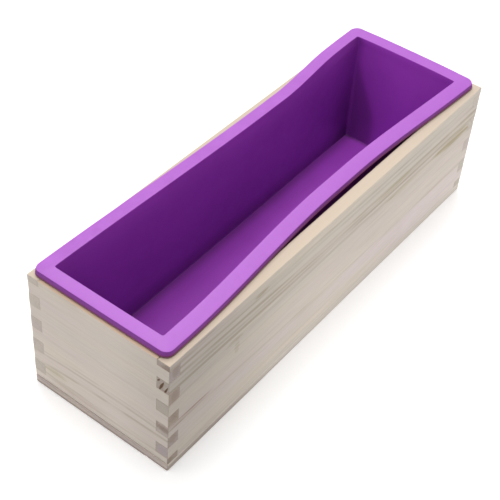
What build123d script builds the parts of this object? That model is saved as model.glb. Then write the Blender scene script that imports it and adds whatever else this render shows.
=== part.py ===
from build123d import *
from math import cos, pi
import os

# Soap loaf mould: an open pine box with finger-jointed corners and a nailed-on plywood
# bottom, holding a one-piece silicone liner whose rim lies on the top of the boards.
# Origin at the centre of the underside, +X along the box, +Z up.
# The front long wall is at -Y and the left end wall is at -X.

# ---- Driving dimensions, mm ----
BOX_LENGTH = 280.0
BOX_WIDTH = 88.5
BOX_HEIGHT = 78.0
WALL = 7.5              # thickness of the four boards
PANEL = 5.5             # thickness of the plywood bottom
OUTER_EASE = 0.8        # rounding sanded onto the outer edges of the box
INNER_EASE = 0.5        # bevel along the inner top edges of the boards

FINGER = 8.0            # height of a whole finger in the corner joints
TOP_FINGER = 3.8        # height of the part finger that the long walls have at the top

BRAD_RADIUS = 0.6
BRAD_LENGTH = 19.0
BRAD_TIP = 1.6          # length of the pointed tip
BRAD_HEAD_RADIUS = 1.1
BRAD_HEAD = 0.7         # thickness of the head
BRAD_SINK = 0.3         # depth of the head above the underside
BRAD_ROOM = 0.04        # radial room around a brad in the wood
BRADS_PER_LONG_WALL = 4
BRADS_PER_END_WALL = 2
LONG_BRAD_PITCH = 78.0
END_BRAD_PITCH = 38.0

TEAR_OUT_DEPTH = 0.7
# Splinters torn from a finger end: distance from the corner, distance below the top,
# length, width and lean in degrees
TEAR_OUTS = [
    (4.8, 16.0, 6.8, 1.2, -72.0),
    (2.0, 16.8, 5.4, 0.8, -70.0),
    (6.2, 13.6, 2.2, 1.1, -50.0),
]
CHIP_START = 4.5        # distances of the panel's edge chip from the front corner
CHIP_END = 14.5
CHIP_HEIGHT = 1.2
CHIP_DEPTH = 2.0

LINER_GAP = 0.3         # room between the resting liner and the wood
LINER_WALL = 2.2
LINER_FLOOR = 3.0
MOUTH_LENGTH = 260.0    # cavity at the top of the rim
MOUTH_WIDTH = 66.5
DRAFT = 1.0             # how far each side closes in from the mouth to the floor
LEAN = 1.0              # how far the mouth has shifted towards the rear
RIM_WIDTH = 8.2
RIM_EDGE = 3.4          # thickness of the rim at its outer edge
RIM_CROWN = 1.4         # further height of the rim at its inner edge
RIM_SLOPE = 6.5         # width of the sloping part of the rim
RIM_CORNER = 5.5
RIM_CROWN_CORNER = 1.5
TUB_CORNER = 3.0
CAVITY_CORNER = 1.0
FRONT_BOW = 6.2         # how far the front long side bows inward at the mouth
REAR_BOW = 3.8
BOW_CENTRE = 8.0        # the bow is greatest a little to the right of the middle
BOW_REACH = 130.0       # distance from there to where a side is straight again
BOW_SPANS = 8           # spans between the points that carry a bowed side

# ---- Sizes that follow ----
HALF_LENGTH = BOX_LENGTH / 2
HALF_WIDTH = BOX_WIDTH / 2
BOARD_HEIGHT = BOX_HEIGHT - PANEL
TUB_BOTTOM = PANEL + LINER_GAP
RIM_BOTTOM = BOX_HEIGHT + LINER_GAP
FLOOR = TUB_BOTTOM + LINER_FLOOR
MOUTH = RIM_BOTTOM + RIM_EDGE + RIM_CROWN
BRAD_REACH = BRAD_SINK + BRAD_LENGTH

# Heights of the finger boundaries below the top of the boards. The long walls have the
# first, third, fifth band at the corners, and the end walls the ones between.
boundaries = [0.0, TOP_FINGER]
while boundaries[-1] + FINGER < BOARD_HEIGHT:
    boundaries.append(boundaries[-1] + FINGER)
boundaries.append(BOARD_HEIGHT)
bands = list(zip(boundaries[:-1], boundaries[1:]))
long_wall_bands = bands[0::2]
end_wall_bands = bands[1::2]

# One brad under each spot: a row up each long wall, and a few up each end wall
brad_spots = [
    *GridLocations(LONG_BRAD_PITCH, BOX_WIDTH - WALL, BRADS_PER_LONG_WALL, 2),
    *GridLocations(BOX_LENGTH - WALL, END_BRAD_PITCH, 2, BRADS_PER_END_WALL),
]


def board_face(length, notches):
    """Face of a board that stands on the panel, with notches at both ends."""
    with Locations((0, PANEL)):
        Rectangle(length, BOARD_HEIGHT, align=(Align.CENTER, Align.MIN))
    for upper, lower in notches:
        middle = BOX_HEIGHT - (upper + lower) / 2
        with GridLocations(length - WALL, 0, 2, 1):
            with Locations((0, middle)):
                Rectangle(WALL, lower - upper, mode=Mode.SUBTRACT)


def brad_holes():
    """Pilot holes for every brad, as far as they meet the board at hand."""
    with Locations(*brad_spots):
        Cylinder(
            BRAD_RADIUS + BRAD_ROOM,
            BRAD_REACH,
            align=(Align.CENTER, Align.CENTER, Align.MIN),
            mode=Mode.SUBTRACT,
        )


def bow_at(x):
    """Share of the greatest bow at a place along the liner."""
    distance = min(abs(x - BOW_CENTRE) / BOW_REACH, 1.0)
    return cos(distance * pi / 2) ** 2


def share_at(z):
    """Share of the way from the cavity's floor to its mouth."""
    return (z - FLOOR) / (MOUTH - FLOOR)


def liner_outline(grow, corner, z):
    """The cavity's outline at a height, grown outward, with its long sides bowed in."""
    share = share_at(z)
    half_length = MOUTH_LENGTH / 2 + grow - DRAFT * (1 - share)
    half_width = MOUTH_WIDTH / 2 + grow - DRAFT * (1 - share)
    bow_share = max(share, 0.0)
    middle = LEAN * bow_share
    run = half_length - corner
    stations = [run * (2 * i / BOW_SPANS - 1) for i in range(BOW_SPANS + 1)]
    front = Spline(
        *[(x, middle - half_width + bow_share * FRONT_BOW * bow_at(x)) for x in stations],
        tangents=((1, 0), (1, 0)),
    )
    rear = Spline(
        *[(x, middle + half_width - bow_share * REAR_BOW * bow_at(x)) for x in stations[::-1]],
        tangents=((-1, 0), (-1, 0)),
    )
    right = Line((half_length, (front @ 1).Y + corner), (half_length, (rear @ 0).Y - corner))
    left = Line((-half_length, (rear @ 1).Y - corner), (-half_length, (front @ 0).Y + corner))
    for before, after in ((front, right), (right, rear), (rear, left), (left, front)):
        TangentArc(before @ 1, after @ 0, tangent=before % 1)


os.makedirs("parts", exist_ok=True)

# ---- The box's outer form, with its sanded edges, which every board is trimmed to ----
with BuildPart() as outer_form:
    Box(BOX_LENGTH, BOX_WIDTH, BOX_HEIGHT, align=(Align.CENTER, Align.CENTER, Align.MIN))
    fillet(outer_form.edges(), radius=OUTER_EASE)

# ---- Front long wall ----
with BuildPart() as front_long_wall:
    with BuildSketch(Plane.XZ.offset(HALF_WIDTH - WALL)):
        board_face(BOX_LENGTH, end_wall_bands)
    extrude(amount=WALL)
    top_edges = front_long_wall.edges().filter_by(Axis.X).group_by(Axis.Z)[-1]
    chamfer(top_edges.sort_by(Axis.Y)[-1], length=INNER_EASE)
    add(outer_form.part, mode=Mode.INTERSECT)
    # Splinters torn out of one finger end at the left corner
    with BuildSketch(Plane.YZ.offset(-HALF_LENGTH)):
        for from_corner, below_top, length, width, lean in TEAR_OUTS:
            with Locations((from_corner - HALF_WIDTH, BOX_HEIGHT - below_top)):
                SlotOverall(length, width, rotation=lean)
    extrude(amount=TEAR_OUT_DEPTH, mode=Mode.SUBTRACT)
    brad_holes()

front_long_wall.part.label = "front_long_wall"
export_step(front_long_wall.part, "parts/front_long_wall.step")

# ---- Rear long wall ----
with BuildPart() as rear_long_wall:
    with BuildSketch(Plane.XZ.offset(-HALF_WIDTH)):
        board_face(BOX_LENGTH, end_wall_bands)
    extrude(amount=WALL)
    top_edges = rear_long_wall.edges().filter_by(Axis.X).group_by(Axis.Z)[-1]
    chamfer(top_edges.sort_by(Axis.Y)[0], length=INNER_EASE)
    add(outer_form.part, mode=Mode.INTERSECT)
    brad_holes()

rear_long_wall.part.label = "rear_long_wall"
export_step(rear_long_wall.part, "parts/rear_long_wall.step")

# ---- Left end wall ----
with BuildPart() as left_end_wall:
    with BuildSketch(Plane.YZ.offset(-HALF_LENGTH)):
        board_face(BOX_WIDTH, long_wall_bands)
    extrude(amount=WALL)
    top_edges = left_end_wall.edges().filter_by(Axis.Y).group_by(Axis.Z)[-1]
    chamfer(top_edges.sort_by(Axis.X)[-1], length=INNER_EASE)
    add(outer_form.part, mode=Mode.INTERSECT)
    brad_holes()

left_end_wall.part.label = "left_end_wall"
export_step(left_end_wall.part, "parts/left_end_wall.step")

# ---- Right end wall ----
with BuildPart() as right_end_wall:
    with BuildSketch(Plane.YZ.offset(HALF_LENGTH - WALL)):
        board_face(BOX_WIDTH, long_wall_bands)
    extrude(amount=WALL)
    top_edges = right_end_wall.edges().filter_by(Axis.Y).group_by(Axis.Z)[-1]
    chamfer(top_edges.sort_by(Axis.X)[0], length=INNER_EASE)
    add(outer_form.part, mode=Mode.INTERSECT)
    brad_holes()

right_end_wall.part.label = "right_end_wall"
export_step(right_end_wall.part, "parts/right_end_wall.step")

# ---- Bottom panel ----
with BuildPart() as bottom_panel:
    with BuildSketch(Plane.XY):
        Rectangle(BOX_LENGTH, BOX_WIDTH)
    extrude(amount=PANEL)
    add(outer_form.part, mode=Mode.INTERSECT)
    # A sliver is missing from the lower ply under the left end
    with BuildSketch(Plane.YZ.offset(-HALF_LENGTH)):
        with BuildLine():
            Polyline(
                (CHIP_START - HALF_WIDTH, 0),
                (CHIP_END - HALF_WIDTH, 0),
                (CHIP_END - HALF_WIDTH, CHIP_HEIGHT),
                close=True,
            )
        make_face()
    extrude(amount=CHIP_DEPTH, mode=Mode.SUBTRACT)
    # Each hole opens downward, with a seat for the brad's head
    under_faces = [Plane(spot.position, x_dir=(1, 0, 0), z_dir=(0, 0, -1)) for spot in brad_spots]
    with Locations(*under_faces):
        CounterBoreHole(
            BRAD_RADIUS + BRAD_ROOM,
            BRAD_HEAD_RADIUS + BRAD_ROOM,
            BRAD_SINK + BRAD_HEAD,
            PANEL,
        )

bottom_panel.part.label = "bottom_panel"
export_step(bottom_panel.part, "parts/bottom_panel.step")

# ---- Brads, driven up through the panel into the boards ----
with BuildPart() as bottom_brads:
    for spot in brad_spots:
        with BuildSketch(Plane(spot.position, x_dir=(1, 0, 0), z_dir=(0, -1, 0))):
            with BuildLine():
                Polyline(
                    (0, BRAD_SINK),
                    (BRAD_HEAD_RADIUS, BRAD_SINK),
                    (BRAD_HEAD_RADIUS, BRAD_SINK + BRAD_HEAD),
                    (BRAD_RADIUS, BRAD_SINK + BRAD_HEAD),
                    (BRAD_RADIUS, BRAD_REACH - BRAD_TIP),
                    (0, BRAD_REACH),
                    close=True,
                )
            make_face()
        revolve(axis=Axis(spot.position, (0, 0, 1)))

bottom_brads.part.label = "bottom_brads"
export_step(bottom_brads.part, "parts/bottom_brads.step")

# ---- Silicone liner ----
with BuildPart() as silicone_liner:
    # Tub, tapering down into the box
    for z in (TUB_BOTTOM, RIM_BOTTOM):
        with BuildSketch(Plane.XY.offset(z)):
            with BuildLine():
                liner_outline(LINER_WALL, TUB_CORNER, z)
            make_face()
    loft(ruled=True)
    # Rim, upright at its edge and then rising gently towards the mouth
    with BuildSketch(Plane.XY.offset(RIM_BOTTOM)):
        with BuildLine():
            liner_outline(RIM_WIDTH, RIM_CORNER, MOUTH)
        make_face()
    extrude(amount=RIM_EDGE)
    crown = ((RIM_BOTTOM + RIM_EDGE, 0.0, RIM_CORNER), (MOUTH, RIM_SLOPE, RIM_CROWN_CORNER))
    for z, inset, corner in crown:
        with BuildSketch(Plane.XY.offset(z)):
            with BuildLine():
                liner_outline(RIM_WIDTH - inset, corner, MOUTH)
            make_face()
    loft(ruled=True)
    # Cavity
    for z in (FLOOR, MOUTH):
        with BuildSketch(Plane.XY.offset(z)):
            with BuildLine():
                liner_outline(0.0, CAVITY_CORNER, z)
            make_face()
    loft(ruled=True, mode=Mode.SUBTRACT)

silicone_liner.part.label = "silicone_liner"
export_step(silicone_liner.part, "parts/silicone_liner.step")
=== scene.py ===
import math

import bmesh
import bpy
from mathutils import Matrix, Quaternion, Vector, noise


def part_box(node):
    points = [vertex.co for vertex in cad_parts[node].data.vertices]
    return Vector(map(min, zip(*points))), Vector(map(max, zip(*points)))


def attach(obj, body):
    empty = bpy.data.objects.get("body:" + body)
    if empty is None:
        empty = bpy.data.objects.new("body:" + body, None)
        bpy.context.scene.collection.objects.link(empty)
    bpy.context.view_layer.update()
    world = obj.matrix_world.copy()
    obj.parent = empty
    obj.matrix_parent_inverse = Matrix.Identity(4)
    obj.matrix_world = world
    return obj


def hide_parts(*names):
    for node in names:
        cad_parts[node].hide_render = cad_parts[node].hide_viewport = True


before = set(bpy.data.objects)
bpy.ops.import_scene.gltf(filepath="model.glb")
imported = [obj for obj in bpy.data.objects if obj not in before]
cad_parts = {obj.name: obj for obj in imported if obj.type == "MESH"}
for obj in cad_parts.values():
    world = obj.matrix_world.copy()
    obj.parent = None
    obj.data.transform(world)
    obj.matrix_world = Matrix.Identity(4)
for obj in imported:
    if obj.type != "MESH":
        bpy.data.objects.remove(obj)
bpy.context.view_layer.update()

# Looks of a pine soap loaf box with a lift-out silicone liner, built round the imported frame.
# Metres throughout, +X along the loaf, -Y the front long wall, +Z up. MM turns millimetres
# into metres where a size is easier to read that way; the wood's materials work in mm.

MM = 0.001

# ---- Places taken from the frame ----
LINER_LOW, LINER_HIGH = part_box("silicone_liner")
WALL_LOW, WALL_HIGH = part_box("front_long_wall")
_, PANEL_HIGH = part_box("bottom_panel")
HALF_LENGTH = PANEL_HIGH.x
HALF_WIDTH = PANEL_HIGH.y
BOX_TOP = WALL_HIGH.z
PANEL_TOP = PANEL_HIGH.z
WALL = WALL_HIGH.y - WALL_LOW.y

# ---- The box's own sizes ----
FINGER = 8.0 * MM           # height of a whole finger in the corner joints
TOP_FINGER = 3.8 * MM       # part finger that the long walls have at the top
OUTER_EASE = 0.8 * MM       # rounding sanded onto the box's outer edges
INNER_EASE = 0.5 * MM       # chamfer on the boards' inner top edges
ARRIS = 0.18 * MM           # slight rounding on every other edge of a board
PANEL_ARRIS = 0.06 * MM     # and on the bottom panel's upper edge, flush with the walls
CHIP_START, CHIP_END = 4.5 * MM, 14.5 * MM      # the panel's chip, from the near corner
CHIP_HEIGHT = 1.2 * MM
CHIP_DEPTH, CHIP_FULL = 2.5 * MM, 1.0 * MM      # how far in it starts, and where it is whole
PANEL_SPANS = (140, 88, 4)  # spans along a long side, along an end and round a corner
PANEL_STEP = 3.0 * MM       # longest span across its section
BRAD_LINE_X, BRAD_LINE_Y = 136.25 * MM, 40.5 * MM
BRAD_STOPS_X = [stop * MM for stop in (-117, -39, 39, 117)]
BRAD_STOPS_Y = [stop * MM for stop in (-19, 19)]
BRAD_SIDES = 24
# Radius and height at each step of a brad's hole, from below the box to past its point
BRAD_HOLE = [(radius * MM, height * MM) for radius, height in
             ((1.14, -1.0), (1.14, 1.0), (0.64, 1.0), (0.64, 17.8), (0.05, 19.4))]
# Splinters torn from a finger end: distance from the corner, distance below the top,
# length and width in metres, lean in degrees
TEAR_OUTS = (
    (4.7 * MM, 16.6 * MM, 8.4 * MM, 1.5 * MM, -68.0),
    (2.0 * MM, 17.9 * MM, 7.0 * MM, 1.2 * MM, -68.0),
    (6.4 * MM, 13.4 * MM, 2.4 * MM, 1.2 * MM, -50.0),
)
TEAR_DEPTH = 0.7 * MM
TEAR_STEPS = 10
ARC_SPANS = 6               # spans round each rounded corner of a section
SHARP = math.radians(60)    # edges sharper than this are broken
TOLERANCE = 1e-6            # points this close count as lying in the same plane, or as one
SHORTEST_EDGE = 1e-7        # edges shorter than this are dissolved

# ---- The liner's own sizes ----
RIM_WIDTH = 8.2 * MM
LINER_WALL = 2.2 * MM
LINER_FLOOR = 3.0 * MM
RIM_REST = 0.3 * MM         # gap between the wood and the resting rim
DRAFT = 1.0 * MM            # how far each side closes in from the mouth to the floor
NEAR_LEAN = 0.8 * MM        # how far the mouth has shifted towards the rear, at the left end
FAR_LEAN = 1.25 * MM        # and at the right end
REAR_FLARE = 1.0 * MM       # outward roll of the rear rim at the right end
END_FLARE = 0.3 * MM        # outward roll of the long sides' rims everywhere else
FRONT_BOW = 6.2 * MM        # how far the front long side bows inward at the mouth
REAR_BOW = 3.8 * MM         # and the rear one
NEAR_SHIFT = 1.3 * MM       # how far the left end's mouth edge sits towards the rim's edge
TUB_ROOM = 0.2 * MM         # how far the tub's left end can follow before it meets the wood
FAR_SHIFT = 1.5 * MM        # how far the right end's mouth edge sits into the cavity
END_DROP = 0.9 * MM         # how much lower the rim's outer edge is than the mouth, at the ends
SIDE_DROP = 1.5 * MM        # and along the long sides
LIP_LIFT = 0.25 * MM        # how far the rim's outer edge curls up off the wood
LIP_SWELL = 0.6 * MM        # how far its lower lip reaches past the rim's width
TOP_INSET = 0.1 * MM        # and how far inside that width its upper edge lies
ROLL_OUT = 3.0 * MM         # how far out from the tub's side the rim's roll is whole
ROLL_DOWN = 1.0 * MM        # and how far below the mouth, inside it
CORNER_PULL = 0.8 * MM      # how far the rim's corners have drawn in along the box
NEAR_PULL, FAR_PULL = 0.15, 1.3                 # share of it at the left and the right end
FLOOR_PULL = 2.5 * MM       # how far the cavity's right end leans in, at its floor
FLOOR_SHIFT = 1.0 * MM      # how far the floor's rear edge sits towards the rear there
FLOOR_LIFT = 1.6 * MM       # and how much higher that end of the floor is
MOUTH_CORNER = 1.0 * MM     # plan radius of the cavity's corners at the mouth
DEEP_CORNER = 1.0 * MM      # what they gain towards the floor
DEEP_START, DEEP_FULL = 6 * MM, 40 * MM         # between these depths below the mouth
RIM_CORNER = 3.6 * MM       # and what the rim's corners gain out to its edge
# Rounding of the section at the cavity's floor, the mouth, the rim's upper edge, its lower lip,
# the corner under the rim and the tub's lower edge
FLOOR_FILLET, MOUTH_EDGE, RIM_EDGE = 0.4 * MM, 0.45 * MM, 0.45 * MM
LIP_EDGE, RIM_FILLET, TUB_EDGE = 0.6 * MM, 0.8 * MM, 2.2 * MM
# Where along the loaf a long side's bow starts, is whole, starts to fade and ends
FRONT_BOW_RUN = [stop * MM for stop in (-125, 0, 25, 150)]
REAR_BOW_RUN = [stop * MM for stop in (-150, 30, 48, 104)]
END_START, END_FULL = 12 * MM, 1 * MM           # where the ends' bends start and are whole
LINER_SPANS = (120, 34, 6)  # spans along a long side, along an end and round a corner
LINER_STEP = 4.0 * MM       # longest span across the section
MOUTH = LINER_HIGH.z
RIM_BOTTOM = BOX_TOP + RIM_REST
FLOOR = LINER_LOW.z + LINER_FLOOR
MOUTH_HALF_LENGTH = (LINER_HIGH.x - LINER_LOW.x) / 2 - RIM_WIDTH
MOUTH_HALF_WIDTH = (LINER_HIGH.y - LINER_LOW.y) / 2 - RIM_WIDTH


def smoothstep(low, high, value):
    """0 up to low, 1 from high on, smooth between; high may be the smaller."""
    t = min(max((value - low) / (high - low), 0.0), 1.0)
    return t * t * (3 - 2 * t)


# ---- Mesh helpers ----

def outline(half_length, half_width, radius, long_spans, end_spans, corner_spans):
    """Stations round a rounded rectangle, as (x, y, share of the outward normal along Y)."""
    radius = max(min(radius, half_length, half_width), 0.0)
    run, rise = half_length - radius, half_width - radius
    # Each corner's centre and first angle, then the side that follows it: heading, spans, half length
    sides = (
        (run, -rise, -90, (0, 1), end_spans, rise),
        (run, rise, 0, (-1, 0), long_spans, run),
        (-run, rise, 90, (0, -1), end_spans, rise),
        (-run, -rise, 180, (1, 0), long_spans, run),
    )
    stations = []
    for corner_x, corner_y, start, heading, spans, reach in sides:
        for step in range(corner_spans + 1):
            angle = math.radians(start + 90 * step / corner_spans)
            x = corner_x + radius * math.cos(angle)
            y = corner_y + radius * math.sin(angle)
            stations.append((x, y, abs(math.sin(angle))))
        end_x, end_y, facing = stations[-1]
        for step in range(1, spans):
            along = 2 * reach * step / spans
            stations.append((end_x + heading[0] * along, end_y + heading[1] * along, round(facing)))
    return stations


def rounded_profile(corners, arc_spans, longest_step):
    """Points along a section whose corners (outset, height, radius) are rounded off."""
    places = [Vector((outset, height)) for outset, height, _ in corners]
    path = [places[0]]
    for before, (_, _, radius), here, after in zip(places, corners[1:], places[1:], places[2:]):
        to_before = (before - here).normalized()
        to_after = (after - here).normalized()
        reach = radius / math.tan(to_before.angle(to_after) / 2)
        start, end = here + to_before * reach, here + to_after * reach
        for step in range(arc_spans + 1):
            t = step / arc_spans
            path.append(start * (1 - t) ** 2 + here * (2 * t * (1 - t)) + end * t ** 2)
    path.append(places[-1])
    points = [path[0]]
    for start, end in zip(path, path[1:]):
        spans = max(1, math.ceil((end - start).length / longest_step))
        points += [start.lerp(end, step / spans) for step in range(1, spans + 1)]
    return points


def link_new(name, data):
    """A new object that holds the data, in the scene."""
    made = bpy.data.objects.new(name, data)
    bpy.context.scene.collection.objects.link(made)
    return made


def new_piece(name, work):
    """A new object from the finished bmesh."""
    mesh = bpy.data.meshes.new(name)
    work.to_mesh(mesh)
    work.free()
    return link_new(name, mesh)


def bridge(work, layers):
    """Faces between each ring of points and the next."""
    for lower, upper in zip(layers, layers[1:]):
        for index in range(len(lower)):
            after = (index + 1) % len(lower)
            work.faces.new((lower[index], lower[after], upper[after], upper[index]))


def skin_rings(name, rings):
    """A closed mesh through rings of the same number of points, each end drawn shut."""
    work = bmesh.new()
    bridge(work, [[work.verts.new(point) for point in ring] for ring in rings])
    bmesh.ops.remove_doubles(work, verts=work.verts, dist=TOLERANCE)
    bmesh.ops.dissolve_degenerate(work, edges=work.edges, dist=SHORTEST_EDGE)
    bmesh.ops.recalc_face_normals(work, faces=work.faces)
    return new_piece(name, work)


# ---- Node helpers ----

class Value:
    """A number, vector or colour at each point of a surface, worked out by nodes of a Graph."""

    def __init__(self, graph, socket):
        self.graph = graph
        self.socket = socket

    def __add__(self, other):
        return self.graph.maths("ADD", self, other)

    def __radd__(self, other):
        return self.graph.maths("ADD", other, self)

    def __sub__(self, other):
        return self.graph.maths("SUBTRACT", self, other)

    def __rsub__(self, other):
        return self.graph.maths("SUBTRACT", other, self)

    def __mul__(self, other):
        return self.graph.maths("MULTIPLY", self, other)

    def __truediv__(self, other):
        return self.graph.maths("DIVIDE", self, other)

    def __pow__(self, other):
        return self.graph.maths("POWER", self, other)

    def __abs__(self):
        return self.graph.maths("ABSOLUTE", self)

    def held(self):
        """The same value, held between 0 and 1 by the node that works it out."""
        self.socket.node.use_clamp = True
        return self


class Graph:
    """Adds nodes to one material. What they work out comes back as a Value."""

    def __init__(self, name):
        self.material = bpy.data.materials.new(name)
        self.material.use_nodes = True
        self.tree = self.material.node_tree
        self.surface = self.tree.nodes["Principled BSDF"]

    def set(self, socket, value):
        if isinstance(value, Value):
            self.tree.links.new(value.socket, socket)
        else:
            socket.default_value = value

    def node(self, kind, *inputs, **settings):
        """The first output of a new node, with its inputs given in order."""
        made = self.tree.nodes.new(kind)
        for key, value in settings.items():
            setattr(made, key, value)
        for socket, value in zip(made.inputs, inputs):
            self.set(socket, value)
        return Value(self, made.outputs[0])

    def coordinate(self, kind):
        """A vector: the place on the piece ("Object", in metres) or the way it faces ("Normal")."""
        return Value(self, self.tree.nodes.new("ShaderNodeTexCoord").outputs[kind])

    def split(self, vector):
        made = self.tree.nodes.new("ShaderNodeSeparateXYZ")
        self.set(made.inputs[0], vector)
        return [Value(self, socket) for socket in made.outputs]

    def combine(self, x, y, z):
        return self.node("ShaderNodeCombineXYZ", x, y, z)

    def maths(self, operation, *inputs):
        return self.node("ShaderNodeMath", *inputs, operation=operation)

    def spread(self, value, low, high, at_low, at_high):
        """at_low up to low, at_high from high on, and straight between."""
        return self.node("ShaderNodeMapRange", value, low, high, at_low, at_high)

    def step(self, low, high, value):
        """0 up to low, 1 from high on, smooth between; high may be the smaller."""
        return self.node(
            "ShaderNodeMapRange", value, low, high, 0.0, 1.0, interpolation_type="SMOOTHSTEP"
        )

    def mix(self, share, first, second, blend="MIX"):
        """A colour: first where share is 0, second where it is 1."""
        made = self.tree.nodes.new("ShaderNodeMix")
        made.data_type = "RGBA"
        made.blend_type = blend
        self.set(made.inputs["Factor"], share)
        for key, value in (("A", first), ("B", second)):
            socket = next(s for s in made.inputs if s.name == key and s.type == "RGBA")
            self.set(socket, value)
        return Value(self, next(s for s in made.outputs if s.type == "RGBA"))

    def shaded(self, colour, shade):
        """The colour times the shade."""
        return self.mix(1.0, colour, self.combine(shade, shade, shade), blend="MULTIPLY")

    def noise(self, vector, scale, detail=3.0, rough=0.55, distortion=0.0):
        made = self.tree.nodes.new("ShaderNodeTexNoise")
        self.set(made.inputs["Vector"], vector)
        made.inputs["Scale"].default_value = scale
        made.inputs["Detail"].default_value = detail
        made.inputs["Roughness"].default_value = rough
        made.inputs["Distortion"].default_value = distortion
        return Value(self, made.outputs["Fac"])

    def pattern(self, x, y, z, detail=3.0, rough=0.55, distortion=0.0):
        """Noise whose grain is one unit of x, y and z; a plain number picks one slice of it."""
        return self.noise(self.combine(x, y, z), 1.0, detail, rough, distortion)

    def random(self, x, y, z):
        """A number between 0 and 1 that is the same wherever x, y and z are."""
        return self.node("ShaderNodeTexWhiteNoise", self.combine(x, y, z), noise_dimensions="3D")

    def bump(self, height, distance, strength, normal=None):
        """The way the surface faces once height, times distance, stands on it."""
        made = self.tree.nodes.new("ShaderNodeBump")
        self.set(made.inputs["Height"], height)
        made.inputs["Distance"].default_value = distance
        made.inputs["Strength"].default_value = strength
        if normal is not None:
            self.set(made.inputs["Normal"], normal)
        return Value(self, made.outputs["Normal"])

    def finish(self, sockets):
        """Give the shader its inputs, a number or colour that doesn't vary on the socket itself."""
        for name, value in sockets.items():
            self.set(self.surface.inputs[name], value)
        return self.material


# ---- Wood ----

SAPWOOD = (0.735, 0.655, 0.565, 1)
GREY_WOOD = (0.695, 0.635, 0.565, 1)
PINK_WOOD = (0.715, 0.622, 0.585, 1)
LATEWOOD = (0.45, 0.365, 0.28, 1)
DRAWN_LATEWOOD = (0.47, 0.40, 0.305, 1)
BROWN_END_GRAIN = (0.33, 0.265, 0.215, 1)
PURPLE_END_GRAIN = (0.345, 0.29, 0.275, 1)
DARK_END_GRAIN = (0.25, 0.19, 0.155, 1)
GREY_END_GRAIN = (0.36, 0.35, 0.30, 1)
VIOLET_END_GRAIN = (0.36, 0.30, 0.33, 1)
TOP_EDGE = (0.66, 0.545, 0.425, 1)
WARM_TOP_EDGE = (0.68, 0.485, 0.335, 1)
GLUE_AND_SHADE_BROWN = (0.18, 0.12, 0.08, 1)
TORN_WOOD_AND_SHADE = (0.22, 0.15, 0.10, 1)
OLIVE_STAIN = (0.47, 0.40, 0.24, 1)
PINK_STAIN = (0.76, 0.665, 0.68, 1)
KNOT_STAIN = (0.40, 0.31, 0.17, 1)
REDDISH_STAIN = (0.45, 0.33, 0.28, 1)
PLY_EDGE = (0.53, 0.455, 0.405, 1)
PLY_PURPLE = (0.47, 0.395, 0.375, 1)
PALE_PLY = (0.76, 0.69, 0.62, 1)


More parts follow.
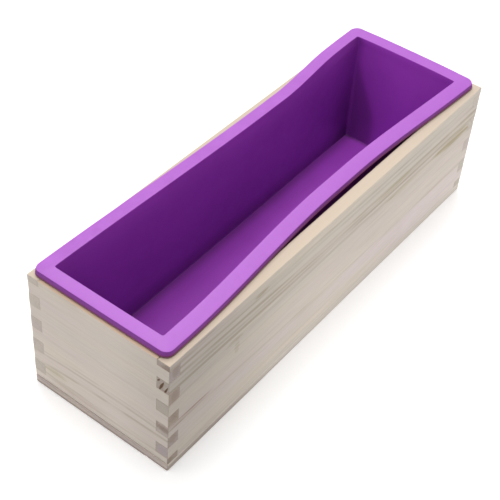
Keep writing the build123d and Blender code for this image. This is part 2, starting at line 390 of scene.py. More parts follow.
class Pine(Graph):
    """Sanded bare pine, worked out in mm along the grain, through the board and up it."""

    def __init__(self, name, along_axis, seed, contrast):
        super().__init__(name)
        place = self.split(self.coordinate("Object"))
        facing = self.split(self.coordinate("Normal"))
        self.along = place[along_axis] * (1 / MM)
        self.through = place[1 - along_axis] * (1 / MM)
        self.up = place[2] * (1 / MM)
        self.end_facing = abs(facing[along_axis])
        self.up_facing = facing[2]
        self.half_run = (HALF_LENGTH, HALF_WIDTH)[along_axis] / MM
        self.seed = seed
        self.contrast = contrast
        # Whole fingers counted down from the long walls' part finger at the top
        self.fingers = ((BOX_TOP - TOP_FINGER) / MM - self.up) / (FINGER / MM)
        self.fibres = self.grain(0.05, 1.6, 4.0, 0.65)
        self.streaks = self.grain(0.014, 0.5, 3.0, 0.6)
        self.threads = self.grain(0.022, 0.9, 3.0, 0.6)
        self.speckle = self.grain(0.3, 1.5, 4.0, 0.7)
        self.patchy = self.grain(0.05, 0.22, 2.0)

    def grain(self, along_rate, across_rate, detail, rough=0.55):
        """Noise drawn out along the grain; the rates are in patches per mm."""
        across, up = self.through * across_rate, self.up * across_rate
        return self.pattern(self.along * along_rate, across, up, detail, rough)

    def growth_rings(self, pith_through, pith_up, spacing):
        """Share of latewood: thin lines where the board cuts the tree's rings."""
        along, up, seed = self.along, self.up, self.seed
        drift = (self.pattern(along * 0.012, seed, 0.0, detail=2.0) - 0.5) * 13.0
        ripple = (self.pattern(along * 0.045, up * 0.08, seed) - 0.5) * 2.4
        side = self.through - pith_through
        rise = up - pith_up + drift
        distance = self.maths("SQRT", side * side + rise * rise) + ripple
        turns = distance / spacing
        phase = self.maths("FRACT", turns)
        line = self.step(0.62, 0.92, phase) - self.step(0.93, 1.0, phase)
        weight = self.random(self.maths("FLOOR", turns), seed, 0.0) ** 1.6
        fading = self.pattern(along * 0.016, up * 0.09, seed + 4.0, detail=2.0)
        fade = self.step(0.30, 0.62, fading)
        slope = self.step(4.0, 17.0, abs(rise))
        return line * (fade * slope) * (0.18 + weight)

    def patch(self, run, rise, spot, ragged):
        """Soft ragged ellipse on a face; spot is its centre and its half sizes in mm."""
        centre_run, centre_rise, half_run, half_rise = spot
        far_run = (run - centre_run) / half_run
        far_rise = (rise - centre_rise) / half_rise
        return self.step(1.0, 0.1, far_run * far_run + far_rise * far_rise + ragged)

    def drawn_line(self, low_end, middle, high_end, thickness, strength):
        """One grain line that runs from end to end through three heights, fading in and out."""
        slope = (high_end - low_end) / 2
        sag = (high_end + low_end) / 2 - middle
        share_along = self.along / self.half_run
        straight = middle + share_along * slope
        curve = share_along * share_along * sag
        wobble = (self.streaks - 0.5) * 1.2
        distance = abs(self.up - (straight + curve + wobble))
        line = self.step(thickness, thickness * 0.2, distance)
        fading = self.pattern(share_along * 2.2, middle, thickness, detail=2.0)
        fade = 0.35 + self.step(0.35, 0.60, fading)
        return (line * strength * fade).held()

    def face(self, rings, tone_and_painted_shade, stains, lines):
        """The board's faces: banded sapwood, its stains, the grain, painted shade end to end, painted
        light below.
        """
        at_low_end, at_high_end, painted_light_below = tone_and_painted_shade
        along, up, seed = self.along, self.up, self.seed
        bands = self.pattern(along * 0.005, up * 0.07, seed)
        pinks = self.pattern(along * 0.006, up * 0.06, seed + 9.0, detail=2.0)
        colour = self.mix(self.step(0.38, 0.62, bands), SAPWOOD, GREY_WOOD)
        colour = self.mix(self.step(0.42, 0.62, pinks) * 0.8, colour, PINK_WOOD)
        ragged = (self.streaks - 0.5) * 2.4
        threaded = 0.35 + self.step(0.46, 0.58, self.threads)
        for spot, share, stain in stains:
            where = (self.patch(along, up, spot, ragged) * threaded).held()
            colour = self.mix(where * share, colour, stain)
        for line in lines:
            colour = self.mix(self.drawn_line(*line), colour, DRAWN_LATEWOOD)
        colour = self.mix((rings * (0.40 * self.contrast)).held(), colour, LATEWOOD)
        for marks, low, high, share in (
            (self.fibres, 0.25, 0.75, 0.20),
            (self.streaks, 0.50, 0.72, 0.14),
            (self.threads, 0.50, 0.66, 0.23 * self.contrast),
        ):
            colour = self.mix(self.step(low, high, marks) * share, colour, LATEWOOD)
        # Painted shade darkens the face towards its lower end; painted light from below makes it paler
        # lower down
        lower_end = self.step(-self.half_run * 0.1, -self.half_run, along)
        lowness = self.step(BOX_TOP / MM * 0.9, 0.0, up)
        shade = at_high_end + lower_end * (at_low_end - at_high_end)
        return self.shaded(colour, shade * (1.0 + lowness * painted_light_below))

    def end_grain(self, rings, face, ends, stains):
        """Cut ends, each finger in its own tone, speckled by the fibres; stains and painted shadows at
        the lower end.
        """
        lower_darkness, upper_darkness = ends
        finger = self.maths("FLOOR", self.fingers)
        which_end = self.maths("SIGN", self.along)
        finger_tone = self.random(finger, which_end * 3.0, self.seed)
        finger_hue = self.random(finger, which_end * 5.0, self.seed + 2.0)
        colour = self.mix(finger_hue, PURPLE_END_GRAIN, BROWN_END_GRAIN)
        colour = self.mix(self.step(0.45, 0.7, self.speckle) * 0.22, colour, GLUE_AND_SHADE_BROWN)
        colour = self.mix((rings * 0.5).held(), colour, GLUE_AND_SHADE_BROWN)
        at_upper_end = self.step(-1.0, 1.0, self.along)
        at_lower_end = self.step(1.0, -1.0, self.along)
        darkness = lower_darkness + at_upper_end * (upper_darkness - lower_darkness)
        varied = 0.55 + finger_tone * 0.55
        colour = self.mix((darkness * (varied * (0.45 + self.patchy))).held(), face, colour)
        smudge = (self.speckle - 0.5) * 2.0
        for spot, share, stain in stains:
            where = self.patch(self.through, self.up, spot, smudge) * at_lower_end
            colour = self.mix(where * share, colour, stain)
        return colour

    def glue_lines(self):
        """A thin broken line round each finger."""
        from_line = abs(self.maths("FRACT", self.fingers + 0.5) - 0.5)
        near_line = self.step(0.030, 0.008, from_line)
        corner = self.half_run - WALL / MM
        in_corner = self.step(corner - 0.3, corner, abs(self.along))
        on_side = self.step(0.5, 0.2, abs(self.up_facing))
        return near_line * in_corner * on_side * self.step(0.30, 0.60, self.patchy)


def pine(name, along_axis, pith, spacing, seed, contrast, ends, tone_and_painted_shade, stains, lines, end_stains_and_shadows):
    """One board's pine.

    pith is where the tree's middle lies, through the board and up it, and spacing its rings',
    all in mm; seed picks the figure and contrast how strongly it shows. ends is how dark the end
    grain is at the lower and the upper end. tone is the face's level at the same two ends, where a
    darker lower end is painted shade, and how much paler painted light from below makes it towards
    the bottom. stains and end_stains_and_shadows are spot, strength and colour; end_stains_and_shadows
    lie on the end grain at the lower end, placed through the board and up it; the front board's dark
    ones are painted shadows.
    """
    board = Pine(name, along_axis, seed, contrast)
    rings = board.growth_rings(*pith, spacing)
    face = board.face(rings, tone_and_painted_shade, stains, lines)
    end = board.end_grain(rings, face, ends, end_stains_and_shadows)
    # The boards' up-facing top edges take a warmer colour of their own, painted warm bounce light
    painted_warm_top = (TOP_EDGE, WARM_TOP_EDGE)[along_axis]
    face = board.mix(board.step(0.5, 0.8, board.up_facing) * 0.85, face, painted_warm_top)
    end_share = board.step(0.45, 0.75, board.end_facing)
    colour = board.mix(end_share, face, end)
    relief = board.fibres * 0.7 + rings * 0.5 + board.speckle * end_share * 0.8
    return board.finish({
        "Base Color": board.mix(board.glue_lines() * 0.45, colour, GLUE_AND_SHADE_BROWN),
        "Roughness": board.spread(board.fibres, 0.2, 0.8, 0.62, 0.78),
        "Normal": board.bump(relief, 0.12 * MM, 0.6),
        "Specular IOR Level": 0.3,
    })


def plywood(name):
    """Three plies: the outer two run along X, the core runs along Y. Worked out in mm."""
    lower_joint, upper_joint = 1.7, 3.8
    graph = Graph(name)
    here = graph.coordinate("Object")
    x, y, z = (value * (1 / MM) for value in graph.split(here))
    facing = graph.split(graph.coordinate("Normal"))
    x_facing, y_facing = (graph.step(0.4, 0.8, abs(value)) for value in facing[:2])
    on_edge = graph.maths("MAXIMUM", x_facing, y_facing)
    height = z + (graph.noise(here, 60.0, 2.0) - 0.5) * 0.7
    above_lower = graph.step(lower_joint - 0.1, lower_joint + 0.05, height)
    below_upper = graph.step(upper_joint + 0.1, upper_joint - 0.05, height)
    core = above_lower * below_upper
    end_share = x_facing * (1.0 - core) + y_facing * core
    fibres = graph.pattern(x * 0.05, y * 1.2, z * 2.0, 4.0, 0.65)
    figure = graph.pattern(x * 0.008, y * 0.12, 2.0, 4.0, 0.6, 1.5)
    pores = graph.pattern(x * 0.9, y * 0.9, z * 3.0, 4.0, 0.7)
    blotches = graph.step(0.40, 0.62, graph.pattern(x * 0.07, y * 0.07, z * 0.2))

    face = graph.mix(graph.step(0.35, 0.65, figure), SAPWOOD, PINK_WOOD)
    face = graph.mix(graph.step(0.55, 0.68, figure) * 0.35, face, LATEWOOD)
    face = graph.mix(graph.step(0.3, 0.7, fibres) * 0.18, face, LATEWOOD)
    edge = graph.mix(blotches, PLY_EDGE, PLY_PURPLE)
    end = graph.mix(graph.step(0.35, 0.7, pores) * 0.30, edge, GLUE_AND_SHADE_BROWN)

    # The long edges are pale, partly painted light, but take painted shade near the left end
    painted_shade = graph.step(-40.0, -120.0, x)
    colour = graph.mix(x_facing * 0.85, face, edge)
    colour = graph.mix(y_facing * (1.0 - painted_shade), colour, PALE_PLY)
    end_strength = 0.9 - y_facing * (0.80 - painted_shade * 0.80)
    colour = graph.mix(end_share * end_strength, colour, end)
    from_glue = graph.maths("MINIMUM", abs(height - lower_joint), abs(height - upper_joint))
    colour = graph.mix(graph.step(0.22, 0.05, from_glue) * on_edge * 0.25, colour, GLUE_AND_SHADE_BROWN)
    # Painted shade along the bottom of the edges, towards the left end
    painted_bottom_shade = graph.step(3.2, 0.6, z) * on_edge * graph.step(20.0, -100.0, x)
    colour = graph.mix(painted_bottom_shade * 0.42, colour, GLUE_AND_SHADE_BROWN)
    # Painted shade also dims the long edges towards the left end
    return graph.finish({
        "Base Color": graph.shaded(colour, 1.0 - y_facing * painted_shade * 0.20),
        "Roughness": 0.75,
        "Normal": graph.bump(fibres + pores * end_share, 0.15 * MM, 0.6),
        "Specular IOR Level": 0.3,
    })


def torn(name):
    """Raw splintered wood at the bottom of a torn place, darkened with painted shade."""
    graph = Graph(name)
    fibres = graph.noise(graph.coordinate("Object"), 900.0, 4.0, 0.7)
    return graph.finish({
        "Base Color": graph.mix(graph.step(0.3, 0.7, fibres), TORN_WOOD_AND_SHADE, GLUE_AND_SHADE_BROWN),
        "Roughness": 0.9,
        "Normal": graph.bump(fibres, 0.3 * MM, 0.8),
        "Specular IOR Level": 0.1,
    })


def steel(name):
    """Scratched bare steel."""
    graph = Graph(name)
    scratches = graph.noise(graph.coordinate("Object"), 2500.0)
    share = graph.step(0.4, 0.7, scratches)
    return graph.finish({
        "Base Color": graph.mix(share, (0.62, 0.61, 0.59, 1), (0.42, 0.40, 0.37, 1)),
        "Roughness": graph.spread(scratches, 0.3, 0.7, 0.3, 0.5),
        "Normal": graph.bump(scratches, 0.02 * MM, 0.4),
        "Metallic": 1.0,
    })


# ---- Cutters for the brad holes and the torn finger ----

def cut_away(piece, cutter):
    """Take the cutter's volume out of the piece, and remove the cutter."""
    modifier = piece.modifiers.new("cut", "BOOLEAN")
    modifier.operation = "DIFFERENCE"
    modifier.solver = "EXACT"
    modifier.object = cutter
    shaped = piece.evaluated_get(bpy.context.evaluated_depsgraph_get())
    mesh = bpy.data.meshes.new_from_object(shaped)
    piece.modifiers.clear()
    piece.data = mesh
    bpy.data.objects.remove(cutter)


def shade_flat_faces(piece, sharp_above):
    """Smooth shading for the rounded edges that leaves the flat faces flat; takes degrees."""
    piece.data.shade_smooth()
    piece.data.set_sharp_from_angle(angle=math.radians(sharp_above))
    modifier = piece.modifiers.new("weighted_normals", "WEIGHTED_NORMAL")
    modifier.keep_sharp = True


def make_hole_cutter(places):
    """One lathed shape at each brad: room for the head, the shank and the point."""
    work = bmesh.new()
    for x, y in places:
        layers = []
        for radius, height in BRAD_HOLE:
            angles = [math.tau * step / BRAD_SIDES for step in range(BRAD_SIDES)]
            layers.append([
                work.verts.new((x + radius * math.cos(angle), y + radius * math.sin(angle), height))
                for angle in angles
            ])
        bridge(work, layers)
        work.faces.new(layers[0][::-1])
        work.faces.new(layers[-1])
    return new_piece("hole_cutter", work)


def make_tear_cutter(from_corner, below_top, length, width, lean):
    """A ragged pointed wedge lying in the left face of the box, where a splinter has come out."""
    centre = Vector((-HALF_LENGTH, from_corner - HALF_WIDTH, BOX_TOP - below_top))
    heading = Vector((0, math.cos(math.radians(lean)), math.sin(math.radians(lean))))
    across = Vector((0, -heading.z, heading.y))
    inward = Vector((1, 0, 0))
    rings = []
    for step in range(TEAR_STEPS + 1):
        t = step / TEAR_STEPS
        wander = noise.noise(Vector((t * 4, from_corner / MM, below_top / MM)))
        swell = max(math.sin(math.pi * t), 0.0) ** 0.6 if 0 < step < TEAR_STEPS else 0.0
        half = 0.5 * width * swell * (1 + 0.5 * wander)
        depth = TEAR_DEPTH * swell * (0.8 + 0.4 * wander)
        middle = centre + heading * (length * (t - 0.5)) + across * (0.1 * width * wander)
        rings.append((middle - inward * depth - across * half, middle - inward * depth + across * half,
                      middle + across * (half * 0.7), middle + inward * depth, middle - across * half))
    cutter = skin_rings("tear_cutter", rings)
    for face in cutter.data.polygons:
        face.material_index = 1     # the torn wood
    return cutter


LONG_WALL_BRADS = [(x, y) for y in (-BRAD_LINE_Y, BRAD_LINE_Y) for x in BRAD_STOPS_X]
END_WALL_BRADS = [(x, y) for x in (-BRAD_LINE_X, BRAD_LINE_X) for y in BRAD_STOPS_Y]


# ---- Boards ----

BOARD_HEIGHT = BOX_TOP - PANEL_TOP


def finger_bands():
    """Each finger's upper and lower edge, as distances below the top of the box."""
    edges = [0.0, TOP_FINGER]
    while edges[-1] + FINGER < BOARD_HEIGHT:
        edges.append(edges[-1] + FINGER)
    edges.append(BOARD_HEIGHT)
    return list(zip(edges, edges[1:]))


LONG_WALL_BANDS = finger_bands()[0::2]
END_WALL_BANDS = finger_bands()[1::2]


def comb_corners(half_run, own_bands):
    """Corners of a board's face, anticlockwise from the lower right, fingers at both ends."""
    right = []
    for upper, lower in reversed(own_bands):
        right += [(half_run, BOX_TOP - lower), (half_run, BOX_TOP - upper)]
        if upper > 0:
            right.append((half_run - WALL, BOX_TOP - upper))
            following = [band for band in own_bands if band[1] < upper]
            stop = following[-1][1] if following else 0.0
            right.append((half_run - WALL, BOX_TOP - stop))
    lowest = own_bands[-1][1]
    if lowest < BOARD_HEIGHT:
        right = [(half_run - WALL, PANEL_TOP), (half_run - WALL, BOX_TOP - lowest)] + right
    left = [(-run, height) for run, height in reversed(right)]
    return right + left


def edges_in(work, *planes):
    """Edges that lie in at least two of the planes, each given as (axis, distance from 0)."""
    def lies_in(edge, axis, distance):
        return all(abs(abs(vert.co[axis]) - distance) < TOLERANCE for vert in edge.verts)

    return [edge for edge in work.edges if sum(lies_in(edge, *plane) for plane in planes) >= 2]


def make_board(name, along_axis, side, own_bands, material, tear_outs):
    """A board with fingers cut in its ends, its outer edges eased and the others just broken."""
    half_run = (HALF_LENGTH, HALF_WIDTH)[along_axis]
    outer = side * (HALF_WIDTH, HALF_LENGTH)[along_axis]
    inner = outer - side * WALL

    def place(run, through, height):
        return (run, through, height) if along_axis == 0 else (through, run, height)

    corners = comb_corners(half_run, own_bands)
    work = bmesh.new()
    near = [work.verts.new(place(run, outer, height)) for run, height in corners]
    far = [work.verts.new(place(run, inner, height)) for run, height in corners]
    work.faces.new(near)
    work.faces.new(far[::-1])
    for index in range(len(corners)):
        after = (index + 1) % len(corners)
        work.faces.new((near[after], near[index], far[index], far[after]))
    bmesh.ops.recalc_face_normals(work, faces=work.faces)

    top = (2, BOX_TOP)
    inner_top = edges_in(work, top, (1 - along_axis, abs(inner)))
    bmesh.ops.bevel(work, geom=inner_top, offset=INNER_EASE, segments=1, affect="EDGES")
    outer_edges = edges_in(work, top, (0, HALF_LENGTH), (1, HALF_WIDTH))
    bmesh.ops.bevel(work, geom=outer_edges, offset=OUTER_EASE, segments=5, profile=0.5, affect="EDGES",
                    clamp_overlap=True)
    sharp = [
        edge for edge in work.edges
        if len(edge.link_faces) == 2 and edge.calc_face_angle() > SHARP
    ]
    bmesh.ops.bevel(work, geom=sharp, offset=ARRIS, segments=2, profile=0.5, affect="EDGES",
                    clamp_overlap=True)
    bmesh.ops.recalc_face_normals(work, faces=work.faces)
    board = new_piece(name, work)
    board.data.materials.append(material)
    board.data.materials.append(torn_wood_and_shade)
    brads = (LONG_WALL_BRADS, END_WALL_BRADS)[along_axis]
    cut_away(board, make_hole_cutter([brad for brad in brads if brad[1 - along_axis] * side > 0]))
    for tear_out in tear_outs:
        cut_away(board, make_tear_cutter(*tear_out))
    shade_flat_faces(board, sharp_above=35)
    return board


torn_wood_and_shade = torn("torn_pine")
# Stains on the faces: centre along and up, half length and half height in mm, strength, colour
FRONT_STAINS = (
    ((48.0, 61.5, 22.0, 2.6), 0.8, OLIVE_STAIN),
    ((61.0, 52.5, 20.0, 2.4), 0.9, OLIVE_STAIN),
    ((113.0, 54.5, 24.0, 5.0), 1.0, OLIVE_STAIN),
    ((-89.0, 48.5, 2.4, 6.5), 0.32, KNOT_STAIN),
    ((-91.0, 53.5, 7.0, 2.2), 0.38, KNOT_STAIN),
    ((-72.0, 71.5, 7.0, 1.6), 0.6, KNOT_STAIN),
    ((48.0, 20.5, 75.0, 7.0), 0.75, PINK_STAIN),
    ((95.0, 14.0, 60.0, 13.0), 0.8, PINK_STAIN),
    ((-70.0, 24.0, 60.0, 5.0), 0.5, PINK_STAIN),
    ((-126.0, 32.0, 22.0, 2.8), 1.0, REDDISH_STAIN),
    ((-115.0, 76.5, 12.0, 0.8), 0.5, REDDISH_STAIN),
)
LEFT_STAINS = (
    ((30.0, 17.0, 11.0, 3.2), 0.65, OLIVE_STAIN),
    ((16.0, 11.0, 26.0, 3.0), 0.5, REDDISH_STAIN),
    ((-5.0, 15.0, 22.0, 3.0), 0.4, PINK_STAIN),
)
# Grain lines on the faces: height at the lower end, at the middle and at the upper end, and
# thickness, all in mm, then strength
FRONT_LINES = (
    (67.0, 62.8, 63.0, 1.6, 0.62),
    (63.3, 60.0, 61.4, 1.4, 0.50),
    (59.4, 57.6, 58.6, 1.7, 0.62),
    (75.0, 71.6, 72.2, 1.5, 0.46),
    (71.0, 68.2, 67.8, 1.3, 0.46),
    (50.6, 54.0, 52.6, 1.7, 0.32),
    (31.8, 27.0, 25.0, 1.2, 0.26),
)
LEFT_LINES = (
    (27.6, 28.4, 25.6, 1.2, 0.40),
    (23.6, 22.2, 18.6, 1.3, 0.50),
    (30.8, 31.0, 28.0, 0.9, 0.28),
    (12.0, 10.0, 14.0, 1.0, 0.30),
)
# Marks on the end grain at the box's near corner: centre through the board and up, half sizes; the two
# dark ones are painted shadow lines, the grey and violet ones stains
FRONT_END_STAINS_AND_SHADOWS = (
    ((-43.5, 75.5, 4.6, 3.0), 0.9, DARK_END_GRAIN),
    ((-41.0, 47.0, 4.6, 5.0), 0.3, GREY_END_GRAIN),
    ((-41.5, 31.0, 6.0, 2.6), 0.8, DARK_END_GRAIN),
    ((-41.0, 14.0, 5.0, 5.0), 0.6, VIOLET_END_GRAIN),
)
LEFT_END_STAINS = (
    ((-135.5, 71.5, 3.4, 5.0), 0.6, DARK_END_GRAIN),
    ((-136.0, 54.5, 3.6, 4.6), 0.6, DARK_END_GRAIN),
    ((-136.0, 39.5, 3.6, 4.2), 0.6, DARK_END_GRAIN),
    ((-136.5, 23.5, 3.6, 4.4), 0.6, DARK_END_GRAIN),
    ((-139.0, 7.5, 3.4, 2.6), 0.70, DARK_END_GRAIN),
)
PLAIN = {"stains": (), "lines": (), "end_stains_and_shadows": ()}       # a board with no drawn marks
# Each board's grain direction, side, fingers and splinters, then what pine() takes
BOARDS = {
    "front_long_wall": (0, -1, LONG_WALL_BANDS, TEAR_OUTS, {
        "pith": (-14.0, 40.0), "spacing": 3.4, "seed": 1.0, "contrast": 0.8,
        "ends": (0.70, 0.4), "tone_and_painted_shade": (0.605, 0.90, 0.19),
        "stains": FRONT_STAINS, "lines": FRONT_LINES, "end_stains_and_shadows": FRONT_END_STAINS_AND_SHADOWS,
    }),
    "rear_long_wall": (0, 1, LONG_WALL_BANDS, (), {
        "pith": (12.0, 52.0), "spacing": 3.9, "seed": 5.0, "contrast": 1.3,
        "ends": (0.30, 0.6), "tone_and_painted_shade": (0.84, 0.82, 0.0), **PLAIN,
    }),
    "left_end_wall": (1, -1, END_WALL_BANDS, (), {
        "pith": (-98.0, 62.0), "spacing": 3.2, "seed": 11.0, "contrast": 0.6,
        "ends": (1.7, 0.8), "tone_and_painted_shade": (0.76, 0.88, 0.05),
        "stains": LEFT_STAINS, "lines": LEFT_LINES, "end_stains_and_shadows": LEFT_END_STAINS,
    }),
    "right_end_wall": (1, 1, END_WALL_BANDS, (), {
        "pith": (95.0, 20.0), "spacing": 3.6, "seed": 3.0, "contrast": 1.3,
        "ends": (0.08, 0.8), "tone_and_painted_shade": (0.88, 0.86, 0.0), **PLAIN,
    }),
}
for node, (along_axis, side, own_bands, tear_outs, look) in BOARDS.items():
    finish = pine("pine_" + node, along_axis, **look)
    board = make_board(node + "_board", along_axis, side, own_bands, finish, tear_outs)
    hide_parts(node)
    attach(board, "box")


# ---- Bottom panel ----

def chip_lift(x, y):
    """How high the underside has broken away there: a ragged sliver off the left end."""
    from_corner = y + HALF_WIDTH
    lost = smoothstep(CHIP_START, CHIP_END, from_corner) * (from_corner < CHIP_END)
    ragged = 0.75 + 0.5 * noise.noise(Vector((from_corner / MM * 0.9, 3.0, 0.0)))
    near_end = smoothstep(-HALF_LENGTH + CHIP_DEPTH, -HALF_LENGTH + CHIP_FULL, x)
    return CHIP_HEIGHT * lost * ragged * near_end


def make_panel():
    """Plywood sheet with eased lower edges and a sliver broken off under the left end."""
    section = (
        (-HALF_WIDTH, 0.0, 0.0),
        (0.0, 0.0, OUTER_EASE),
        (0.0, PANEL_TOP, PANEL_ARRIS),
        (-HALF_WIDTH, PANEL_TOP, 0.0),
    )
    rings = []
    for outset, height in rounded_profile(section, ARC_SPANS, PANEL_STEP):
        stations = outline(HALF_LENGTH + outset, HALF_WIDTH + outset, OUTER_EASE, *PANEL_SPANS)
        rings.append([(x, y, max(height, chip_lift(x, y))) for x, y, _ in stations])
    panel = skin_rings("bottom_panel_sheet", rings)
    cut_away(panel, make_hole_cutter(LONG_WALL_BRADS + END_WALL_BRADS))
    shade_flat_faces(panel, sharp_above=40)
    panel.data.materials.clear()
    panel.data.materials.append(plywood("plywood"))
    return panel


panel = make_panel()
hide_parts("bottom_panel")
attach(panel, "box")
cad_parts["bottom_brads"].data.materials.clear()
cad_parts["bottom_brads"].data.materials.append(steel("brad_steel"))


# ---- Silicone liner ----

DEEP_PURPLE = (0.39, 0.060, 0.53, 1)
DARKER_PURPLE = (0.36, 0.053, 0.49, 1)
# The rim's painted sheen, and the painted shade on its side and lower lip
PAINTED_SHEEN_PURPLE = (0.45, 0.125, 0.60, 1)
SHADED_SIDE_PURPLE = (0.20, 0.030, 0.27, 1)
SHADED_LIP_MAROON = (0.20, 0.040, 0.11, 1)


def cavity_shade(graph, place, facing, outward):
    """Painted shade and light on the silicone, mostly down in the cavity.

    Painted shade darkens the cavity towards its floor and corners, most in a wedge at the rear of each
    end wall, and darkens the floor along the rear wall; painted light brightens the end walls and the
    floor's right end.
    """
    x, y, z = place
    end_wall = graph.step(0.5, 0.9, abs(facing[0]))
    on_floor = graph.step(0.5, 0.9, facing[2])
    from_end = MOUTH_HALF_LENGTH - abs(x)
    from_side = MOUTH_HALF_WIDTH - abs(y)
    depth = graph.step(MOUTH - 11 * MM, FLOOR + 14 * MM, z)
    at_rear = graph.step(0.0, 5 * MM, y)
    from_corner = graph.maths("MAXIMUM", from_end, from_side)
    corner = graph.step(34 * MM, 4 * MM, from_corner) * (0.85 - end_wall * 0.35)
    wedge = graph.step(5 * MM, -3 * MM, from_side - depth * (17 * MM)) * at_rear * end_wall * 0.34
    side_depth = depth * (0.20 - end_wall * 0.16)
    corner_depth = corner * (0.20 + depth * 0.17)
    crease = graph.step(FLOOR + 13 * MM, FLOOR + 5 * MM, z) * (0.16 - end_wall * 0.16)
    inside = graph.step(0.0, -8 * MM, outward)
    painted_shade = (side_depth + corner_depth + (wedge + crease)) * inside
    near_rear = graph.step(8 * MM, 1 * MM, from_side) * at_rear
    floor_gain = (x - 40 * MM) * 1.1 - near_rear * 0.32
    return (1.0 - painted_shade) * (1.0 + end_wall * 0.26) + on_floor * floor_gain


def silicone(name):
    """Matte moulded silicone, a little cloudy, with a fine satin grain, painted shade on the rim's side
    and lip and a pale painted sheen on top.
    """
    graph = Graph(name)
    here = graph.coordinate("Object")
    place = graph.split(here)
    facing = graph.split(graph.coordinate("Normal"))
    outward = place[0] * facing[0] + place[1] * facing[1]
    cloud = graph.noise(here, 22.0)
    grain = graph.noise(here, 2600.0, 2.0)
    smear = graph.noise(here, 140.0, 4.0, 0.6)
    colour = graph.mix(graph.step(0.3, 0.7, cloud), DEEP_PURPLE, DARKER_PURPLE)
    # Painted shade and light in the cavity
    colour = graph.shaded(colour, cavity_shade(graph, place, facing, outward))

    # Painted shade darkens the rim's side, with a reddish painted shade line on its lower lip; a
    # painted sheen lies on the rim's top
    top_facing = graph.step(0.45, 0.75, facing[2])
    on_rim = graph.step(RIM_BOTTOM - 0.5 * MM, RIM_BOTTOM, place[2])
    side = on_rim * graph.step(0.0, 8 * MM, outward) * (1.0 - top_facing)
    on_lip = graph.step(RIM_BOTTOM + 2.2 * MM, RIM_BOTTOM + 0.5 * MM, place[2])
    colour = graph.mix(side, colour, graph.mix(on_lip, SHADED_SIDE_PURPLE, SHADED_LIP_MAROON))
    painted_sheen = top_facing * on_rim * graph.spread(smear, 0.3, 0.7, 0.8, 1.0)
    return graph.finish({
        "Base Color": graph.mix(painted_sheen, colour, PAINTED_SHEEN_PURPLE),
        "Roughness": graph.spread(smear, 0.3, 0.7, 0.38, 0.46) + side * 0.35,
        "Normal": graph.bump(smear, 0.15 * MM, 0.25, graph.bump(grain, 0.02 * MM, 0.5)),
        "IOR": 1.45,
        "Specular IOR Level": 0.55,
        "Subsurface Weight": 0.12,
        "Subsurface Radius": (1.0, 0.35, 1.0),
        "Subsurface Scale": 2.0 * MM,
    })


def bow_at(x, run):
    """Share of a long side's bow there."""
    start, whole, fading, end = run
    return smoothstep(start, whole, x) * (1 - smoothstep(fading, end, x))


def liner_ring(outset, height):
    """One ring round the liner with every bend in it, outset that far from the mouth's edge."""
    out = max(outset, 0.0) / RIM_WIDTH
    deep = smoothstep(MOUTH - DEEP_START, MOUTH - DEEP_FULL, height) * (outset <= 0)
    radius = MOUTH_CORNER + RIM_CORNER * out + DEEP_CORNER * deep
    # Share of the mouth's bends that the ring takes: none at the floor, all along the rim
    on_rim = smoothstep(LINER_WALL, LINER_WALL + ROLL_OUT, outset)
    share = min(max((height - FLOOR) / (MOUTH - FLOOR), 0.0), 1.0)
    share += (1 - share) * on_rim
    rolled = max(on_rim, smoothstep(RIM_BOTTOM, MOUTH - ROLL_DOWN, height))
    thickness = (height - RIM_BOTTOM) / (MOUTH - RIM_BOTTOM)
    fall = (SIDE_DROP - END_DROP) * out * max(thickness, 0.0)
    underneath = 0 < outset and height < RIM_BOTTOM + LIP_LIFT
    in_cavity = outset <= 0 and height > FLOOR - 0.1 * MM
    sunk = (1 - share) * in_cavity
    ring = []
    half_length, half_width = MOUTH_HALF_LENGTH + outset, MOUTH_HALF_WIDTH + outset
    for x, y, y_facing in outline(half_length, half_width, radius, *LINER_SPANS):
        nearness = min(abs(y) / MOUTH_HALF_WIDTH, 1.0)
        along = (x + MOUTH_HALF_LENGTH) / (2 * MOUTH_HALF_LENGTH)
        end_reach = smoothstep(MOUTH_HALF_LENGTH - END_START, MOUTH_HALF_LENGTH - END_FULL, abs(x))
        # Along the loaf: each end's mouth edge, the drawn-in corners and the leaning right end
        shift = (FAR_SHIFT if x > 0 else NEAR_SHIFT) * share * (1 - out) * end_reach
        if x < 0 and underneath:
            shift = min(shift, TUB_ROOM)
        corner = 0.3 + 0.7 * nearness ** 3
        pull = CORNER_PULL * rolled * end_reach * corner * (FAR_PULL if x > 0 else NEAR_PULL)
        shift += math.copysign(pull, x) + FLOOR_PULL * sunk * end_reach * (x > 0)
        # Across it: the bowed long sides, the lean to the rear, the rim's roll and the floor
        if y < 0:
            bow = FRONT_BOW * bow_at(x, FRONT_BOW_RUN) * nearness
            flare = -END_FLARE * nearness
        else:
            bow = -REAR_BOW * bow_at(x, REAR_BOW_RUN) * nearness
            flare = (END_FLARE + (REAR_FLARE - END_FLARE) * smoothstep(0.8, 0.98, along)) * nearness
        lean = NEAR_LEAN + (FAR_LEAN - NEAR_LEAN) * along
        back = FLOOR_SHIFT * sunk * nearness * along * (y > 0)
        lift = FLOOR_LIFT * sunk * smoothstep(0.3, 1.0, along)
        ring.append((x - shift, y + share * (bow + lean) + rolled * flare + back,
                     height + lift - fall * y_facing))
    return ring


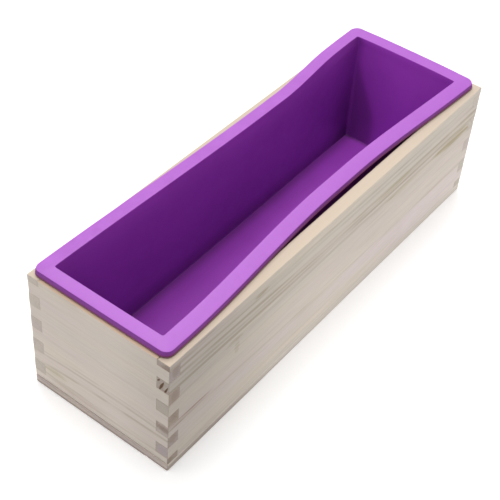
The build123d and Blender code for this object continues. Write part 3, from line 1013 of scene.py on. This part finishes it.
def make_liner():
    """The liner as rings: cavity floor, up the walls, over the rim, down the tub, underside."""
    section = (
        (-MOUTH_HALF_WIDTH, FLOOR, 0.0),
        (-DRAFT, FLOOR, FLOOR_FILLET),
        (0.0, MOUTH, MOUTH_EDGE),
        (RIM_WIDTH - TOP_INSET, MOUTH - END_DROP, RIM_EDGE),
        (RIM_WIDTH + LIP_SWELL, RIM_BOTTOM + LIP_LIFT, LIP_EDGE),
        (LINER_WALL, RIM_BOTTOM, RIM_FILLET),
        (LINER_WALL - DRAFT, LINER_LOW.z, TUB_EDGE),
        (-MOUTH_HALF_WIDTH, LINER_LOW.z, 0.0),
    )
    points = rounded_profile(section, ARC_SPANS, LINER_STEP)
    rings = [liner_ring(outset, height) for outset, height in points]
    liner = skin_rings("silicone_liner_skin", rings)
    liner.data.shade_smooth()
    liner.data.materials.append(silicone("purple_silicone"))
    return liner


liner = make_liner()
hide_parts("silicone_liner")
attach(liner, "liner")


# ---- Floor, light and camera ----

STUDIO_HALF = 3.0
SURROUND_STRENGTH = 0.50    # brightness of the surroundings to the left and right of the box
REAR_GAIN = 0.22            # how much brighter they are straight behind it, and darker in front
AZIMUTH, ELEVATION, ROLL = -55.87, 43.81, 4.94      # the photo's view, in degrees
AIM = (-0.0245, -0.0032, 0.040)
DISTANCE = 0.6406
LENS, SENSOR = 86.2, 36.0   # in the camera's millimetres


def make_floor():
    """White paper under the box, glowing a little as an overexposed backdrop does."""
    half = STUDIO_HALF
    mesh = bpy.data.meshes.new("floor")
    corners = [(-half, -half, 0), (half, -half, 0), (half, half, 0), (-half, half, 0)]
    mesh.from_pydata(corners, [], [(0, 1, 2, 3)])
    floor = link_new("floor", mesh)
    mesh.materials.append(Graph("floor_paper").finish({
        "Base Color": (0.90, 0.90, 0.90, 1),
        "Roughness": 0.95,
        "Specular IOR Level": 0.1,
        "Emission Color": (1, 1, 1, 1),
        "Emission Strength": 0.28,
    }))


def make_softbox(name, place, aim, width, height, power):
    """A rectangular light at place, facing aim."""
    data = bpy.data.lights.new(name, "AREA")
    data.shape = "RECTANGLE"
    data.size, data.size_y = width, height
    data.energy = power
    light = link_new(name, data)
    light.location = place
    light.rotation_mode = "QUATERNION"
    light.rotation_quaternion = (Vector(aim) - Vector(place)).to_track_quat("-Z", "Y")


def make_world():
    """White surroundings, brighter behind the box than in front of it."""
    world = bpy.data.worlds.new("studio")
    world.use_nodes = True
    tree = world.node_tree
    coordinates = tree.nodes.new("ShaderNodeTexCoord")
    split = tree.nodes.new("ShaderNodeSeparateXYZ")
    gain = tree.nodes.new("ShaderNodeMath")
    gain.operation = "MULTIPLY_ADD"
    gain.inputs[1].default_value = REAR_GAIN
    gain.inputs[2].default_value = SURROUND_STRENGTH
    tree.links.new(coordinates.outputs["Generated"], split.inputs[0])
    tree.links.new(split.outputs[1], gain.inputs[0])
    tree.links.new(gain.outputs[0], tree.nodes["Background"].inputs["Strength"])
    tree.nodes["Background"].inputs["Color"].default_value = (1, 1, 1, 1)
    bpy.context.scene.world = world


def make_camera():
    """The photo's view of the box."""
    azimuth, elevation, roll = (math.radians(angle) for angle in (AZIMUTH, ELEVATION, ROLL))
    level = math.cos(elevation)
    back = Vector((math.sin(azimuth) * level, -math.cos(azimuth) * level, math.sin(elevation)))
    data = bpy.data.cameras.new("camera")
    data.sensor_width = SENSOR
    data.lens = LENS
    data.clip_start = 0.01
    camera = link_new("camera", data)
    camera.location = Vector(AIM) + back * DISTANCE
    camera.rotation_mode = "QUATERNION"
    camera.rotation_quaternion = (-back).to_track_quat("-Z", "Y") @ Quaternion((0, 0, 1), roll)
    bpy.context.scene.camera = camera


make_floor()
make_world()
make_softbox("back_softbox", (1.25, 1.05, 2.75), (0, 0, 0.05), 2.2, 1.6, 40.0)
make_softbox("top_softbox", (-0.20, 0.0, 1.40), (0, 0, 0.05), 0.6, 0.6, 7.5)
make_softbox("front_softbox", (0.90, -1.40, 0.30), (0, 0, 0.03), 1.0, 0.4, 3.0)
make_camera()
bpy.context.scene.view_settings.view_transform = "Standard"
